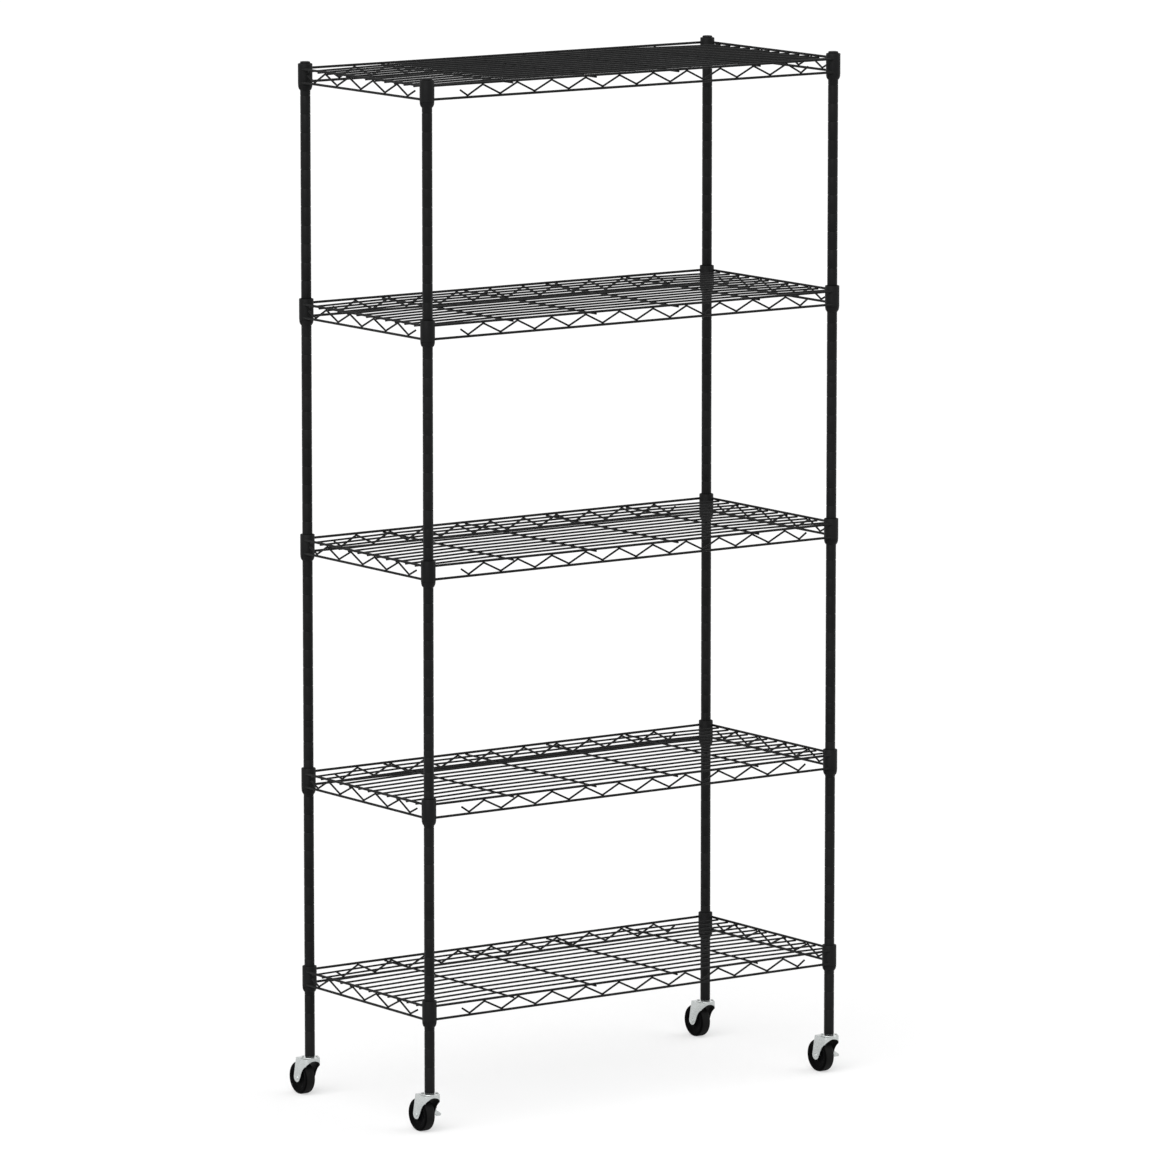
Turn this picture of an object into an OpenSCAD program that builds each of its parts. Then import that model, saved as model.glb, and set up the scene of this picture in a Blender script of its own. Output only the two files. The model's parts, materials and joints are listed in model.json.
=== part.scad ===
// Five tier wire shelving rack on four small swivel casters, built as an
// assembly of separate pieces.  Millimetres, +Z up.
// Origin: on the floor, under the middle of the whole rack's bounding box.  The
// wheels trail towards +Y and the brake pedals point to +X, so the posts' own
// middle lies a little off it.  +X runs along the long side of the shelves and
// -Y is the front, with the braked casters.

/* [Rack] */
// Post centre to post centre along the long side
post_span_x = 677; // [560:1:900]
// Post centre to post centre along the short side
post_span_y = 294.6; // [240:0.2:420]
// Post outside diameter
post_d = 14; // [12.8:0.1:14.2]
// Length of one post module, the post is made of three
post_module = 459; // [440:1:480]
// Distance between two grooves of the post
groove_pitch = 25.4; // [20:0.1:30]
// Groove depth
groove_depth = 0.45; // [0.2:0.05:0.6]

/* [Shelves] */
// Height of the top shelf's rails over the lower end of the posts
shelf_h1 = 1372; // [1340:1:1376]
// Height of the second shelf
shelf_h2 = 1050; // [1000:1:1100]
// Height of the third shelf
shelf_h3 = 724.5; // [680:0.5:770]
// Height of the fourth shelf
shelf_h4 = 399; // [350:1:445]
// Height of the bottom shelf
shelf_h5 = 121.3; // [60:0.1:200]
// Rail wire diameter
rail_d = 3.5; // [3:0.1:3.8]
// Distance between the upper and the lower rail
rail_gap = 18.4; // [14:0.2:19]
// How far the rails lie outside the post centre lines
rail_out = 7.3; // [6.6:0.1:7.6]
// Diameter of the zigzag, deck and cross wires
wire_d = 2.7; // [2.2:0.1:2.9]
// Number of deck wires
deck_n = 12; // [6:1:16]
// Distance between two deck wires
deck_pitch = 23.14; // [14:0.02:24]
// Number of cross wires under the deck
cross_n = 4; // [2:1:6]
// Zigzag tops on a long side
zig_n_long = 10; // [6:1:12]
// Zigzag tops on a short side
zig_n_short = 4; // [2:1:5]
// Collar outside diameter
collar_d = 20; // [19.8:0.1:22]
// Height of the collar's metal sleeve
collar_h = 29; // [27:0.5:32]

/* [Casters] */
// Wheel diameter
wheel_d = 45.6; // [40:0.2:48]
// Wheel width over the tyre
wheel_w = 15.2; // [12:0.2:16]
// Distance from the floor to the lower end of the posts
caster_h = 53.8; // [53:0.2:60]
// How far the axle lies behind the swivel axis
caster_trail = 14.4; // [12:0.2:18]
// Fork width over the legs
fork_w = 25.4; // [24:0.2:30]
// How far the brake pedal stands out from the swivel axis
pedal_reach = 27.6; // [24:0.2:30]

/* [Hidden] */

$fn = 48;
eps = 0.01;
fit = 0.05;                 // radial clearance of a shaft in a hole
hair = 0.02;                // gap between pieces that only touch

black = [0.10, 0.10, 0.105];
plastic = [0.07, 0.07, 0.075];
rubber = [0.045, 0.045, 0.045];
zinc = [0.76, 0.78, 0.78];

// corner signs in the order front left, front right, back left, back right
corners = [[-1, -1], [1, -1], [-1, 1], [1, 1]];
shelf_h = [shelf_h1, shelf_h2, shelf_h3, shelf_h4, shelf_h5];

// posts
post_r = post_d / 2;
post_wall = 1.1;
post_bore = post_r - post_wall;
post_foot = 5;              // plain end under the first module
groove_w = 1.3;
groove_first = 6.1;         // first groove's phase over each module's lower end
groove_extra = 8.9;         // the joint's own ring over each module's lower end
groove_n = 17;
cap_h = 3.6;
end_chamfer = 0.4;

// shelves
rail_r = rail_d / 2;
wire_r = wire_d / 2;
rail_x = post_span_x / 2 + rail_out;
rail_y = post_span_y / 2 + rail_out;
cross_pitch = 2 * rail_x / (cross_n + 1) * 0.994;
deck_drop = rail_r + wire_r - 0.9;      // ends pressed and welded under the rails
cross_z = -wire_d + 0.15;               // welded to the deck wires' undersides
wire_over = 0.5;                        // deck wire ends past the short rails' centre lines
cross_over = 2.6;                       // and cross wire ends past the long rails' centre lines
zig_long = 56.2 * post_span_x / 677 * 10 / zig_n_long;
zig_short = 57.8 * post_span_y / 294.6 * 4 / zig_n_short;
zig_end_pull = 3.2;                     // the last bend is drawn in by this
zig_in = rail_r + wire_r - 0.5;          // bends inside the rails' centre lines, welded to them
zig_past = 1.25;                        // every second piece runs past the bend by this
zig_thin = 0.06;                        // and the ones between are thinner, so none touch along a line
stub_long = 12;
stub_short = 17;
stub_top = -0.44 * rail_gap;

// collars and clips
collar_r = collar_d / 2;
collar_up = 7.1;                        // over the upper rail's centre
collar_edge = 0.6;                      // rounding of its upper edge
bore_top = 7.8;
bore_bottom = 8.6;
clip_slot = 0.9;
clip_band = 2.6;                        // straight part under the sleeve
clip_lip = 7.4;                         // whole part under the sleeve
clip_lip_r = 7.7;

// casters
wheel_r = wheel_d / 2;
axle_r = 1.9;
leg_t = 1.4;
fork_r = fork_w / 2;
fork_in = fork_r - leg_t;
plate_top = -1.7;                       // fork plate's top under the post's end
plate_t = 1.4;
tip_r = 7;
axle_z = wheel_r - caster_h;            // under the post's end
wheel_x = -fork_in + wheel_w / 2 + 0.3; // wheel runs close to the left leg
shoulder = 3.2;
race_r = 13;
race_t = 1.15;
ball_r = 0.8;
ball_pcd_r = 9.4;
ball_n = 14;
ball_z = -1.45;
king_r = 3;
stem_r = 3.9;
stem_h = 19;
plan_front = 10;
plan_back = 16;
plan_corner = 6;

// brake lever of the front casters, it turns about a pin along Y on the +X leg
lever_x = fork_r + 2.6;
lever_z = axle_z + 8.2;
lever_y = caster_trail;                 // middle of its width
lever_w = 8.2;
lever_t = 1.2;
ear_t = 1.2;
ear_r = 2.5;
pin_r = 1.1;
finger_w = 4.6;
window_w = 6.2;

// the bounding box's middle, seen from the middle of the posts
rivet = 0.9;                            // axle head outside the leg
middle_x = (pedal_reach - max(fork_r + rivet, race_r)) / 2;
middle_y = (caster_trail + wheel_r - race_r) / 2;

// ---------------------------------------------------------------- helpers
function post_x(c) = c[0] * post_span_x / 2;
function post_y(c) = c[1] * post_span_y / 2;
function arc(cx, cy, r, a0, a1, n) =
    [for (i = [0:n]) [cx + r * cos(a0 + (a1 - a0) * i / n), cy + r * sin(a0 + (a1 - a0) * i / n)]];
// heights of all grooves over the post's lower end
function grooves() = [for (m = [0:2]) for (k = [m == 0 ? 1 : 0:groove_n])
    post_foot + m * post_module + (k == 0 ? groove_extra : groove_first + k * groove_pitch)];
function nearest(list, z, i = 0, best = 0) =
    i >= len(list) ? list[best]
    : nearest(list, z, i + 1, abs(list[i] - z) < abs(list[best] - z) ? i : best);

// straight round bar between two points
module bar(p, q, r) {
    d = q - p;
    l = norm(d);
    translate(p)
        rotate([0, acos(d[2] / l), atan2(d[1], d[0])])
            cylinder(r = r, h = l);
}

module at_corner(c) {
    translate([post_x(c) - middle_x, post_y(c) - middle_y, caster_h])
        children();
}

module at_shelf(k) {
    translate([-middle_x, -middle_y, caster_h + shelf_h[k]])
        children();
}

// ---------------------------------------------------------------- shelves
// one zigzag wire along +X, centred, between the rails at z = 0 and z = -rail_gap
module zigzag(n, pitch, stub) {
    tops = [for (i = [0:n - 1]) (i - (n - 1) / 2) * pitch];
    last = n / 2 * pitch - zig_end_pull;
    high = -zig_in;
    low = -rail_gap + zig_in;
    for (i = [0:n - 1]) {
        left = i == 0 ? -last : tops[i] - pitch / 2;
        right = i == n - 1 ? last : tops[i] + pitch / 2;
        run_on([left, 0, low], [tops[i], 0, high]);
        bar([tops[i], 0, high], [right, 0, low], wire_r - zig_thin);
    }
    bar([-last, 0, low], [-last - stub, 0, stub_top], wire_r - zig_thin);
    run_on([last, 0, low], [last + stub, 0, stub_top], 0);
}

// wire that runs on a little past both places
module run_on(p, q, far = zig_past) {
    way = (q - p) / norm(q - p);
    bar(p - zig_past * way, q + far * way, wire_r);
}

module collar_outside() {
    rotate_extrude()
        polygon(concat([[0, collar_up - collar_h], [collar_r, collar_up - collar_h]],
            arc(collar_r - collar_edge, collar_up - collar_edge, collar_edge, 0, 90, 3),
            [[0, collar_up]]));
}

module collar_bore() {
    translate([0, 0, collar_up - collar_h - eps])
        cylinder(r1 = bore_bottom, r2 = bore_top, h = collar_h + 2 * eps);
}

module shelf_frame(k) {
    color(black)
        at_shelf(k)
            difference() {
                union() {
                    for (s = [-1, 1]) {
                        translate([0, s * rail_y, 0])
                            zigzag(zig_n_long, zig_long, stub_long);
                        translate([s * rail_x, 0, 0])
                            rotate([0, 0, 90])
                                zigzag(zig_n_short, zig_short, stub_short);
                        for (z = [0, -rail_gap]) {
                            bar([-post_span_x / 2, s * rail_y, z], [post_span_x / 2, s * rail_y, z], rail_r);
                            bar([s * rail_x, -post_span_y / 2, z], [s * rail_x, post_span_y / 2, z], rail_r);
                        }
                    }
                    for (c = corners)
                        translate([post_x(c), post_y(c), 0])
                            collar_outside();
                }
                for (c = corners)
                    translate([post_x(c), post_y(c), 0])
                        collar_bore();
            }
}

// deck wires lie level between the outer cross wires and slope down to pass
// under the short rails; the cross wires run straight under the long rails
module deck(k) {
    flat_x = cross_pitch * (cross_n - 1) / 2;
    end_x = rail_x + wire_over;
    end_y = rail_y + cross_over;
    slope = deck_drop / (rail_x - flat_x);
    color(black)
        at_shelf(k) {
            for (i = [0:deck_n - 1]) {
                y = (i - (deck_n - 1) / 2) * deck_pitch;
                bar([-flat_x, y, 0], [flat_x, y, 0], wire_r);
                for (s = [-1, 1])
                    bar([s * (flat_x - 2), y, 0.03],
                        [s * end_x, y, -slope * (end_x - flat_x)], wire_r - 0.06);
            }
            for (i = [0:cross_n - 1]) {
                x = (i - (cross_n - 1) / 2) * cross_pitch;
                bar([x, -end_y, cross_z], [x, end_y, cross_z], wire_r);
            }
        }
}

// two plastic half sleeves in every collar, with a rib in the nearest groove
module clips(k) {
    low = collar_up - collar_h;
    rib = nearest(grooves(), shelf_h[k] - 9) - shelf_h[k];
    color(plastic)
        for (c = corners)
            at_corner(c)
                translate([0, 0, shelf_h[k]])
                difference() {
                    union() {
                        rotate_extrude()
                            polygon([[post_r + fit, low - clip_lip],
                                [clip_lip_r, low - clip_lip],
                                [collar_r - 0.1, low - clip_band],
                                [collar_r - 0.1, low - fit],
                                [bore_bottom - fit, low - fit],
                                [bore_top - fit, collar_up - 0.6],
                                [post_r + fit, collar_up - 0.6]]);
                        translate([0, 0, rib - groove_w / 2 + 0.15])
                            rotate_extrude()
                                translate([post_r - groove_depth + fit, 0])
                                    square([groove_depth + 0.4, groove_w - 0.3]);
                    }
                    cube([60, clip_slot, 200], center = true);
                }
}

// ---------------------------------------------------------------- posts
// one tube from z0 to z1 with every groove that falls inside it
module post_tube(z0, z1) {
    inside = [for (g = grooves()) if (g > z0 + 3 && g < z1 - 3) g];
    outer = concat([[post_r - end_chamfer, z0], [post_r, z0 + end_chamfer]],
        [for (g = inside) for (p = [[post_r, g - groove_w / 2],
            [post_r - groove_depth, g - groove_w / 4],
            [post_r - groove_depth, g + groove_w / 4],
            [post_r, g + groove_w / 2]]) p],
        [[post_r, z1 - end_chamfer], [post_r - end_chamfer, z1]]);
    rotate_extrude()
        polygon(concat(outer, [[post_bore, z1], [post_bore, z0]]));
}

module post_piece(c, m) {
    z0 = m == 0 ? 0 : post_foot + m * post_module;
    z1 = post_foot + (m + 1) * post_module - (m == 2 ? cap_h : 0);
    color(black)
        at_corner(c)
            post_tube(z0 + (m == 0 ? 0 : hair), z1);
}

// plugs with a screw thread's core inside every joint
module post_joiners() {
    color(zinc)
        for (c = corners)
            for (m = [1, 2])
                at_corner(c)
                    translate([0, 0, post_foot + m * post_module]) {
                        translate([0, 0, -24])
                            cylinder(r = post_bore - fit, h = 23);
                        translate([0, 0, -1 - eps])
                            cylinder(r = post_bore - 1.2, h = 3);
                        translate([0, 0, 2 - eps])
                            cylinder(r = post_bore - fit, h = 23);
                    }
}

module post_feet() {
    color(zinc)
        for (c = corners)
            at_corner(c)
                difference() {
                    translate([0, 0, 0.5])
                        cylinder(r = post_bore - fit, h = 24);
                    translate([0, 0, -1])
                        cylinder(r = stem_r + fit, h = stem_h + 2);
                }
}

module post_caps() {
    color(plastic)
        for (c = corners)
            at_corner(c)
                translate([0, 0, post_foot + 3 * post_module - cap_h]) {
                    translate([0, 0, hair])
                        rotate_extrude()
                            polygon([[0, 0], [post_r, 0], [post_r, cap_h - 0.8],
                                [post_r - 0.8, cap_h - hair], [0, cap_h - hair]]);
                    translate([0, 0, -14])
                        cylinder(r = post_bore - fit, h = 14 + 2 * hair);
                }
}

// ---------------------------------------------------------------- casters
// threaded stem, upper race plate and the king pin under it, one turned piece
module stem(c) {
    color(zinc)
        at_corner(c)
            difference() {
                rotate_extrude()
                    polygon([[0, stem_h], [stem_r - 0.8, stem_h], [stem_r, stem_h - 0.8],
                        [stem_r, 0], [race_r - 0.5, 0], [race_r, -0.4], [race_r, -race_t],
                        [king_r + 1.6, -race_t], [king_r + 1.6, plate_top + 0.3],
                        [king_r, plate_top + 0.3],
                        [king_r, plate_top - plate_t - 0.3],
                        [king_r + 2, plate_top - plate_t - 0.3],
                        [king_r + 1.2, plate_top - plate_t - 1.6],
                        [0, plate_top - plate_t - 1.6]]);
                translate([0, 0, ball_z])
                    rotate_extrude()
                        translate([ball_pcd_r, 0])
                            circle(r = ball_r + 0.1, $fn = 24);
            }
}

module caster_balls() {
    color(zinc)
        for (c = corners)
            at_corner(c)
                for (i = [0:ball_n - 1])
                    rotate([0, 0, i * 360 / ball_n])
                        translate([ball_pcd_r, 0, ball_z])
                            sphere(r = ball_r, $fn = 24);
}

// side view of the fork as seen along the axle, x of the sketch is the rack's Y
module fork_side() {
    big = 26.15;
    big_y = caster_trail - 34.5;
    big_z = axle_z - 3.8;
    foot_z = axle_z + 1.2;
    polygon(concat(
        [[-plan_front - 1, plate_top], [plan_back, plate_top]],
        arc(caster_trail, foot_z, tip_r, 8, -150, 18),
        arc(big_y, big_z, big, 16.5, 68, 12),
        [[-plan_front - 1, big_z + big * sin(68)]]));
}

module fork_plan(r, front, back, corner) {
    hull_y = front - corner;
    union() {
        translate([-r, -hull_y])
            square([2 * r, back + hull_y]);
        translate([-r + corner, -front])
            square([2 * (r - corner), front]);
        for (s = [-1, 1])
            translate([s * (r - corner), -hull_y])
                circle(r = corner);
    }
}

// two ears on the outside of the +X leg that hold the lever's pin
module ears() {
    for (s = [-1, 1])
        translate([0, lever_y + s * (lever_w / 2 + fit + ear_t / 2) + ear_t / 2, 0])
            rotate([90, 0, 0])
                linear_extrude(ear_t) {
                    translate([lever_x, lever_z])
                        circle(r = ear_r);
                    translate([fork_r - leg_t / 2, lever_z - ear_r])
                        square([lever_x - fork_r + leg_t / 2, 2 * ear_r]);
                }
}

module fork(c, braked) {
    color(zinc)
        at_corner(c)
            difference() {
                union() {
                    difference() {
                        intersection() {
                            translate([0, 0, -60])
                                linear_extrude(60 + plate_top)
                                    fork_plan(fork_r, plan_front, 60, plan_corner);
                            translate([-30, 0, 0])
                                rotate([90, 0, 90])
                                    linear_extrude(60)
                                        fork_side();
                        }
                        // the space for the wheel
                        translate([0, 0, -60])
                            linear_extrude(60 + plate_top - plate_t)
                                fork_plan(fork_in, plan_front - leg_t, 70, plan_corner - leg_t);
                        // arch in the front skirt
                        translate([0, -plan_front + plan_corner - 2.1, axle_z + 11.2])
                            rotate([90, 0, 0])
                                cylinder(r = fork_r + 1.8, h = 20);
                    }
                    if (braked)
                        ears();
                }
                // king pin, axle and ball track
                translate([0, 0, plate_top - plate_t - 1])
                    cylinder(r = king_r + fit, h = 4);
                translate([-30, caster_trail, axle_z])
                    rotate([0, 90, 0])
                        cylinder(r = axle_r + fit, h = 60);
                translate([0, 0, ball_z])
                    rotate_extrude()
                        translate([ball_pcd_r, 0])
                            circle(r = ball_r + 0.1, $fn = 24);
                if (braked) {
                    // lever pin's bores and the finger's window
                    translate([lever_x, lever_y + 20, lever_z])
                        rotate([90, 0, 0])
                            cylinder(r = pin_r + fit, h = 40);
                    translate([fork_in - 1, lever_y - window_w / 2, lever_z - 3.9])
                        cube([leg_t + 1.6, window_w, 3.7]);
                }
            }
}

module axle(c, braked) {
    end = lever_w / 2 + fit + ear_t;
    color(zinc)
        at_corner(c) {
            translate([0, caster_trail, axle_z])
                rotate([0, 90, 0])
                    rotate_extrude()
                        polygon([[0, -fork_r - rivet], [1.8, -fork_r - rivet], [2.6, -fork_r - 0.4],
                            [2.6, -fork_r], [axle_r, -fork_r], [axle_r, wheel_x + wheel_w / 2 + 0.3],
                            [3.6, wheel_x + wheel_w / 2 + 0.3], [3.6, fork_in - 0.05],
                            [axle_r, fork_in - 0.05], [axle_r, fork_r], [2.6, fork_r],
                            [2.6, fork_r + 0.4], [1.8, fork_r + rivet], [0, fork_r + rivet]]);
            if (braked)
                translate([lever_x, lever_y, lever_z])
                    rotate([90, 0, 0])
                        rotate_extrude()
                            polygon([[0, -end - 0.7], [1.3, -end - 0.7], [1.8, -end - 0.3], [1.8, -end],
                                [pin_r, -end], [pin_r, end], [1.8, end], [1.8, end + 0.3],
                                [1.3, end + 0.7], [0, end + 0.7]]);
        }
}

module hub(c) {
    r_out = wheel_r - 5.5;
    half = wheel_w / 2;
    color(plastic)
        at_corner(c)
            translate([wheel_x, caster_trail, axle_z])
                rotate([0, 90, 0])
                    rotate_extrude()
                        polygon([[axle_r + fit, -half + 0.1], [8, -half + 0.1], [8.6, -half + 1.6],
                            [r_out - 2.4, -half + 1.6], [r_out - 1.9, -half + 0.6], [r_out, -half + 0.6],
                            [r_out, half - 0.6], [r_out - 1.9, half - 0.6], [r_out - 2.4, half - 1.6],
                            [8.6, half - 1.6], [8, half - 0.1], [axle_r + fit, half - 0.1]]);
}

module tyre(c) {
    r_in = wheel_r - 5.5;
    half = wheel_w / 2;
    color(rubber)
        at_corner(c)
            translate([wheel_x, caster_trail, axle_z])
                rotate([0, 90, 0])
                    rotate_extrude()
                        polygon(concat([[r_in, half - 0.4], [r_in, -half + 0.4], [r_in + 0.4, -half]],
                            arc(wheel_r - shoulder, -half + shoulder, shoulder, -90, 0, 6),
                            arc(wheel_r - shoulder, half - shoulder, shoulder, 0, 90, 6),
                            [[r_in + 0.4, half]]));
}

// brake lever: a pedal shaped like an upside-down channel, an eye round the pin
// and a finger through the leg's window that presses on the wheel's boss
module lever_side(grow) {
    polygon([[lever_x - 1.5, lever_z + ear_r - grow],
        [lever_x + 1, lever_z + ear_r - grow],
        [lever_x + 2.8 - grow, lever_z - 4.6 - grow],
        [pedal_reach - 2.4 - grow, lever_z - 9.6 - grow],
        [pedal_reach - 0.5 - grow, lever_z - 10.9],
        [pedal_reach - grow, lever_z - 11.8],
        [pedal_reach - 0.9 - grow, lever_z - 12.8 + grow],
        [pedal_reach - 2.6 - grow, lever_z - 13],
        [lever_x + 2.6, lever_z - 12.9 - 3 * grow],
        [lever_x - 0.9, lever_z - 4.6 - 3 * grow],
        [lever_x - 1.5, lever_z - 2.4]]);
}

module brake(c) {
    tip = wheel_x + wheel_w / 2 + 0.4;
    color(zinc)
        at_corner(c)
            translate([0, lever_y, 0])
                difference() {
                    union() {
                        difference() {
                            intersection() {
                                translate([0, lever_w / 2, 0])
                                    rotate([90, 0, 0])
                                        linear_extrude(lever_w)
                                            lever_side(0);
                                // rounded pedal end in plan
                                translate([0, 0, -60])
                                    linear_extrude(60)
                                        union() {
                                            translate([0, -lever_w / 2])
                                                square([pedal_reach - 4, lever_w]);
                                            translate([pedal_reach - 4.1, 0])
                                                circle(r = lever_w / 2);
                                        }
                            }
                            translate([0, lever_w / 2 - lever_t, 0])
                                rotate([90, 0, 0])
                                    linear_extrude(lever_w - 2 * lever_t)
                                        lever_side(lever_t);
                        }
                        translate([tip, -finger_w / 2, lever_z - 3.1])
                            cube([lever_x - tip, finger_w, 1.4]);
                        rotate([90, 0, 0])
                            translate([lever_x, lever_z, -lever_w / 2])
                                cylinder(r = ear_r - 0.2, h = lever_w);
                    }
                    translate([lever_x, lever_w, lever_z])
                        rotate([90, 0, 0])
                            cylinder(r = pin_r + fit, h = 2 * lever_w);
                }
}

shelf_frame(0);  // frame_1
shelf_frame(1);  // frame_2
shelf_frame(2);  // frame_3
shelf_frame(3);  // frame_4
shelf_frame(4);  // frame_5
deck(0);  // deck_1
deck(1);  // deck_2
deck(2);  // deck_3
deck(3);  // deck_4
deck(4);  // deck_5
clips(0);  // clips_1
clips(1);  // clips_2
clips(2);  // clips_3
clips(3);  // clips_4
clips(4);  // clips_5
post_piece(corners[0], 0);  // post_low_fl
post_piece(corners[1], 0);  // post_low_fr
post_piece(corners[2], 0);  // post_low_bl
post_piece(corners[3], 0);  // post_low_br
post_piece(corners[0], 1);  // post_mid_fl
post_piece(corners[1], 1);  // post_mid_fr
post_piece(corners[2], 1);  // post_mid_bl
post_piece(corners[3], 1);  // post_mid_br
post_piece(corners[0], 2);  // post_top_fl
post_piece(corners[1], 2);  // post_top_fr
post_piece(corners[2], 2);  // post_top_bl
post_piece(corners[3], 2);  // post_top_br
post_joiners();
post_feet();
post_caps();
caster_balls();
stem(corners[0]);  // stem_fl
stem(corners[1]);  // stem_fr
stem(corners[2]);  // stem_bl
stem(corners[3]);  // stem_br
fork(corners[0], true);  // fork_fl
fork(corners[1], true);  // fork_fr
fork(corners[2], false);  // fork_bl
fork(corners[3], false);  // fork_br
axle(corners[0], true);  // axle_fl
axle(corners[1], true);  // axle_fr
axle(corners[2], false);  // axle_bl
axle(corners[3], false);  // axle_br
hub(corners[0]);  // hub_fl
hub(corners[1]);  // hub_fr
hub(corners[2]);  // hub_bl
hub(corners[3]);  // hub_br
tyre(corners[0]);  // tyre_fl
tyre(corners[1]);  // tyre_fr
tyre(corners[2]);  // tyre_bl
tyre(corners[3]);  // tyre_br
brake(corners[0]);  // brake_fl
brake(corners[1]);  // brake_fr
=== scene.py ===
# Wire shelving rack on casters, dressed for the picture.
import json
import math
import bpy
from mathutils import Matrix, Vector


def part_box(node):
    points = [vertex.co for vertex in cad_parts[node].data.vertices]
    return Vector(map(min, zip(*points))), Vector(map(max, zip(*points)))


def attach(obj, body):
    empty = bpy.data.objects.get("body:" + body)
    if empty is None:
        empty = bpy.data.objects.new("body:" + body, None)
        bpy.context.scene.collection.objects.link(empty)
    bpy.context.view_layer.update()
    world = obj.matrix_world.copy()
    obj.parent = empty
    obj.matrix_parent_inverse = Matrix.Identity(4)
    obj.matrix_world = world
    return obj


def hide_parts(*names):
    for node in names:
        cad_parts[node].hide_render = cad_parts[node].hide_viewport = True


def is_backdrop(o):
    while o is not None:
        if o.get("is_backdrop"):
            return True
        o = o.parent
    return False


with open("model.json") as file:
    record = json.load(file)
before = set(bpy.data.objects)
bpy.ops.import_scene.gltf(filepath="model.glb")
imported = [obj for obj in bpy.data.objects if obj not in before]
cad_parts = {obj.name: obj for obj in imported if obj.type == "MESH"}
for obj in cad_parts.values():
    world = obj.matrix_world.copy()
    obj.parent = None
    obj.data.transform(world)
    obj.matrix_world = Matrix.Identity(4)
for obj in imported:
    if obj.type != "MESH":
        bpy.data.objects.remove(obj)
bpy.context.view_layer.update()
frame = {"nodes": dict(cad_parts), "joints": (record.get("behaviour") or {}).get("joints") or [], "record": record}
scene = bpy.context.scene
scene.view_settings.view_transform = 'Standard'
print("stage: frame loaded")

# the photograph's camera: seen from the front left, a little from above
view = {
    "azimuth": -35.2306,            # degrees, 0 looks along +Y
    "lookDown": 8.7612,
    "aim": (-0.000541, -0.02472, 0.7111),
    "distance": 11.9647,
    "lens": 268.845,
    "sensor": 36.0,
    "photoSize": 1160,
    "clipEnd": 200,
}

cameraData = bpy.data.cameras.new("photoCamera")
camera = bpy.data.objects.new("photoCamera", cameraData)
scene.collection.objects.link(camera)
scene.camera = camera
cameraData.sensor_fit = 'AUTO'
cameraData.sensor_width = view["sensor"]
cameraData.lens = view["lens"]
cameraData.clip_end = view["clipEnd"]
camera.rotation_euler = (math.radians(90 - view["lookDown"]), 0, math.radians(view["azimuth"]))
bpy.context.view_layer.update()
camera.location = Vector(view["aim"]) + camera.matrix_world.to_3x3() @ Vector((0, 0, view["distance"]))
bpy.context.view_layer.update()


def shownAt(place):
    seen = camera.matrix_world.inverted() @ Vector(place)
    size = view["photoSize"]
    scale = size * view["lens"] / view["sensor"] / -seen.z
    return size / 2 + seen.x * scale, size / 2 - seen.y * scale


print("stage: camera placed")

# ---- materials


def newMaterial(name):
    material = bpy.data.materials.new(name)
    material.use_nodes = True
    return material, material.node_tree.nodes, material.node_tree.links


spread = {"from": 0.35, "to": 0.65}    # the stretch of a noise that a ramp runs over


def addNoise(nodes, links, size):
    # size is a noise's scale and its detail
    coordinates = nodes.get("coordinates")
    if coordinates is None:
        coordinates = nodes.new("ShaderNodeTexCoord")
        coordinates.name = "coordinates"
    noise = nodes.new("ShaderNodeTexNoise")
    noise.inputs["Scale"].default_value = size[0]
    noise.inputs["Detail"].default_value = size[1]
    links.new(coordinates.outputs["Object"], noise.inputs["Vector"])
    return noise.outputs["Fac"]


def addRamp(nodes, links, source, low, high, target):
    ramp = nodes.new("ShaderNodeValToRGB")
    ramp.color_ramp.elements[0].position = spread["from"]
    ramp.color_ramp.elements[1].position = spread["to"]
    ramp.color_ramp.elements[0].color = low
    ramp.color_ramp.elements[1].color = high
    links.new(source, ramp.inputs["Fac"])
    links.new(ramp.outputs["Color"], target)


def addBump(nodes, links, height, strength, distance, target):
    bump = nodes.new("ShaderNodeBump")
    bump.inputs["Strength"].default_value = strength
    bump.inputs["Distance"].default_value = distance
    links.new(height, bump.inputs["Height"])
    links.new(bump.outputs["Normal"], target)


def grey(value):
    return (value, value, value, 1)


def makeFinish(name, look):
    # patches of two tones, a gloss that varies and a fine grain
    material, nodes, links = newMaterial(name)
    inputs = nodes["Principled BSDF"].inputs
    inputs["Metallic"].default_value = look["metallic"]
    inputs["Specular IOR Level"].default_value = look["specular"]
    patches = addNoise(nodes, links, look["patches"])
    addRamp(nodes, links, patches, look["dark"], look["light"], inputs["Base Color"])
    gloss = addNoise(nodes, links, look["gloss"]) if look["gloss"] else patches
    addRamp(nodes, links, gloss, grey(look["roughLow"]), grey(look["roughHigh"]), inputs["Roughness"])
    grain = addNoise(nodes, links, look["grain"])
    addBump(nodes, links, grain, look["grainStrength"], look["grainDeep"], inputs["Normal"])
    return material


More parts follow.
